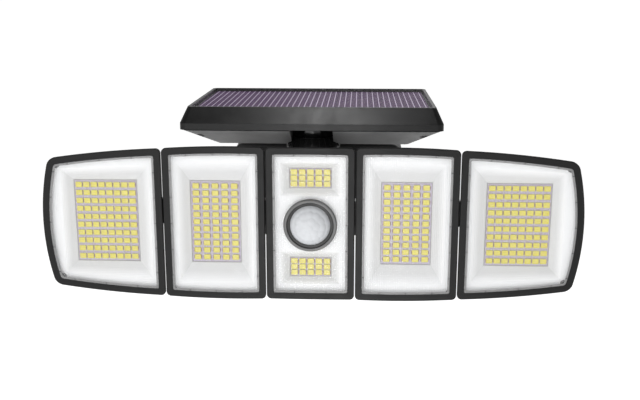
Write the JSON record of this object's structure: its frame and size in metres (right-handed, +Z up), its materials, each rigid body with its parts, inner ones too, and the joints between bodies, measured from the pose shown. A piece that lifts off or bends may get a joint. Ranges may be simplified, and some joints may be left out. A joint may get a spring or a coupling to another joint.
{
  "type": "solar flood light",
  "caption": "Wall flood light with a row of hinged lamp heads, a motion sensor in the middle head and a solar panel with its battery box on a ball joint above.",
  "frame": {"origin": "centre of the wall plate's back face, on the wall", "axes": "+X to the right as seen from the front, +Y into the wall, +Z up; the lamp heads face -Y"},
  "size_m": [0.3452, 0.1391, 0.1238],
  "materials": {
    "frame_plastic": "satin",
    "panel_plastic": "satin",
    "shell_plastic": "satin",
    "box_plastic": "satin",
    "tray_plastic": "matte",
    "clear_lens": "clear, finely textured",
    "panel_glass": "clear",
    "solar_cells": "laminated cells",
    "white_reflector": "satin white",
    "led_board": "white solder mask on aluminium",
    "led_phosphor": "phosphor",
    "circuit_board": "solder mask",
    "zinc_steel": "zinc plated",
    "black_screws": "black oxide",
    "joint_gloss": "gloss",
    "ring_plastic": "satin",
    "nylon": "natural nylon",
    "sensor_dome": "translucent, faceted inside",
    "bezel_gloss": "gloss",
    "sensor_can": "satin",
    "battery_wrap": "shrink sleeve",
    "button_rubber": "matte"
  },
  "bodies": {
    "wall_mount": {"ball_stud": "joint_gloss", "base_screws": "black_screws", "centre_frame": "frame_plastic", "centre_led_boards": "led_board", "centre_leds": "led_phosphor", "centre_lens": "clear_lens", "centre_reflector": "white_reflector", "centre_screws": "black_screws", "control_board": "circuit_board", "inner_hinge_pins": "zinc_steel", "main_housing": "shell_plastic", "pir_bezel": "bezel_gloss", "pir_dome": "sensor_dome", "pir_sensor": "sensor_can", "side_screws": "black_screws", "wall_base": "shell_plastic", "wall_plate": "zinc_steel"},
    "mode_button": {"mode_button": "button_rubber"},
    "right_inner_head": {"right_inner_shell": "shell_plastic", "right_inner_frame": "frame_plastic", "right_inner_lens": "clear_lens", "right_inner_reflector": "white_reflector", "right_inner_led_board": "led_board", "right_inner_leds": "led_phosphor", "right_inner_screws": "black_screws", "right_inner_hinge_pin": "zinc_steel"},
    "right_outer_head": {"right_outer_shell": "shell_plastic", "right_outer_frame": "frame_plastic", "right_outer_lens": "clear_lens", "right_outer_reflector": "white_reflector", "right_outer_led_board": "led_board", "right_outer_leds": "led_phosphor", "right_outer_screws": "black_screws"},
    "left_inner_head": {"left_inner_shell": "shell_plastic", "left_inner_frame": "frame_plastic", "left_inner_lens": "clear_lens", "left_inner_reflector": "white_reflector", "left_inner_led_board": "led_board", "left_inner_leds": "led_phosphor", "left_inner_screws": "black_screws", "left_inner_hinge_pin": "zinc_steel"},
    "left_outer_head": {"left_outer_shell": "shell_plastic", "left_outer_frame": "frame_plastic", "left_outer_lens": "clear_lens", "left_outer_reflector": "white_reflector", "left_outer_led_board": "led_board", "left_outer_leds": "led_phosphor", "left_outer_screws": "black_screws"},
    "panel_swivel": {"ball_seat": "nylon"},
    "solar_panel": {"ball_socket": "joint_gloss", "panel_frame": "panel_plastic", "solar_glass": "panel_glass", "solar_cells": "solar_cells", "lower_shell": "box_plastic", "shell_screws": "black_screws", "socket_screws": "black_screws", "battery_tray": "tray_plastic", "battery_cells": "battery_wrap", "charge_board": "circuit_board"},
    "lock_ring": {"lock_ring": "ring_plastic"}
  },
  "joints": [
    {"name": "mode_press", "type": "slide", "parent": "wall_mount", "child": "mode_button", "axis": [0, 0, 1], "range_m": [0, 0.001], "stiffness_N_per_m": 1200, "springref_m": -0.0006},
    {"name": "right_inner_turn", "type": "hinge", "parent": "wall_mount", "child": "right_inner_head", "pos_m": [0.0286, -0.123, 0.007], "axis": [0, 0, 1], "range_deg": [0, 35]},
    {"name": "left_inner_turn", "type": "hinge", "parent": "wall_mount", "child": "left_inner_head", "pos_m": [-0.0286, -0.123, 0.007], "axis": [0, 0, 1], "range_deg": [-35, 0]},
    {"name": "right_outer_turn", "type": "hinge", "parent": "right_inner_head", "child": "right_outer_head", "pos_m": [0.0944, -0.123, 0.007], "axis": [0, 0, 1], "range_deg": [0, 45]},
    {"name": "left_outer_turn", "type": "hinge", "parent": "left_inner_head", "child": "left_outer_head", "pos_m": [-0.0944, -0.123, 0.007], "axis": [0, 0, 1], "range_deg": [-45, 0]},
    {"name": "panel_turn", "type": "hinge", "parent": "wall_mount", "child": "panel_swivel", "pos_m": [0, -0.088, 0.045], "axis": [0, 0, 1], "range_deg": [-15, 15]},
    {"name": "panel_tilt", "type": "hinge", "parent": "panel_swivel", "child": "solar_panel", "pos_m": [0, -0.088, 0.045], "axis": [1, 0, 0], "range_deg": [-10, 10]},
    {"name": "ring_turn", "type": "hinge", "parent": "solar_panel", "child": "lock_ring", "pos_m": [0, -0.088, 0.042], "axis": [0, 0, 1], "range_deg": [0, 60]}
  ]
}
